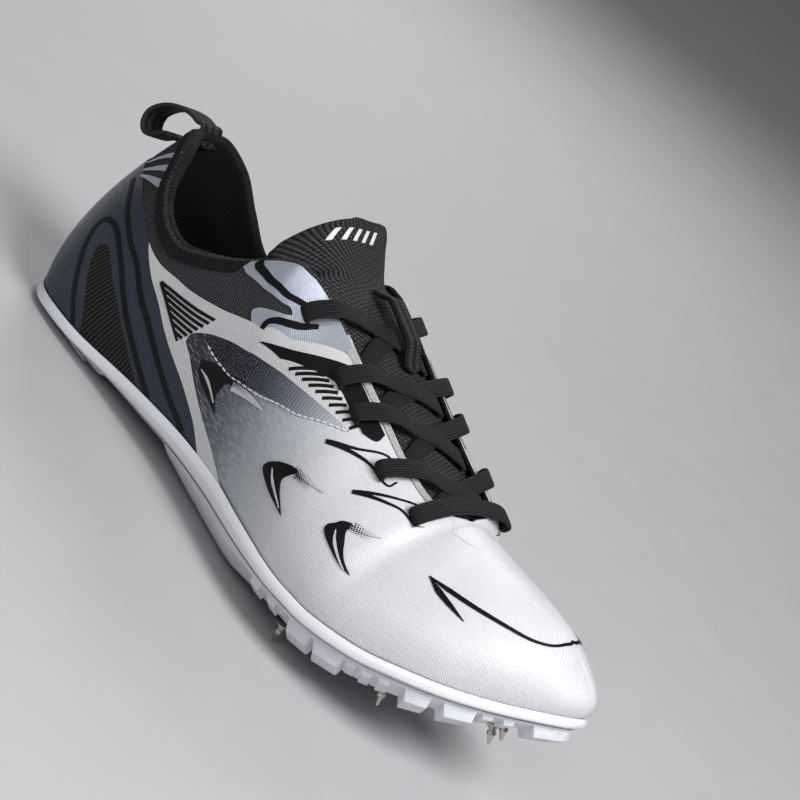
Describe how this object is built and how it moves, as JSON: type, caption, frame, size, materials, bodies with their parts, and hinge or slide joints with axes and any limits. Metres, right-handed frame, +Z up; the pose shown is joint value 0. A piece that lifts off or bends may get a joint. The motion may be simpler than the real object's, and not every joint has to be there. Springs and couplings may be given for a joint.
{
  "type": "track spike shoe",
  "caption": "Low-cut track spike for the right foot: lasted mesh and film upper, padded tongue, flat laces, moulded sole, plate with lugs and screw-in steel pins.",
  "frame": {"origin": "on the floor, under the middle of the heel pad's flat face", "axes": "+X to the toe, +Y to the inner (medial) side, +Z up"},
  "size_m": [0.2874, 0.0923, 0.1089],
  "materials": {
    "upper": "white and grey film over mesh",
    "heel_counter": "dark metallic film",
    "eyestay": "satin film",
    "tongue": "black knit",
    "webbing": "black webbing",
    "lace": "black flat braid",
    "insole": "black knit over foam",
    "midsole": "glossy white",
    "heel_pad": "translucent",
    "spike_plate": "satin white",
    "spike": "turned steel"
  },
  "bodies": {
    "root": {"upper": "upper", "heel_counter": "heel_counter", "eyestay_lateral": "eyestay", "eyestay_medial": "eyestay", "tongue": "tongue", "tongue_keeper": "webbing", "pull_loop": "webbing", "lace_bar": "lace", "lace_cross_1": "lace", "lace_cross_2": "lace", "lace_cross_3": "lace", "lace_cross_4": "lace", "insole": "insole", "midsole": "midsole", "heel_pad": "heel_pad", "spike_plate": "spike_plate", "spike_1": "spike", "spike_2": "spike", "spike_3": "spike", "spike_4": "spike", "spike_5": "spike", "spike_6": "spike", "spike_7": "spike"}
  },
  "joints": []
}
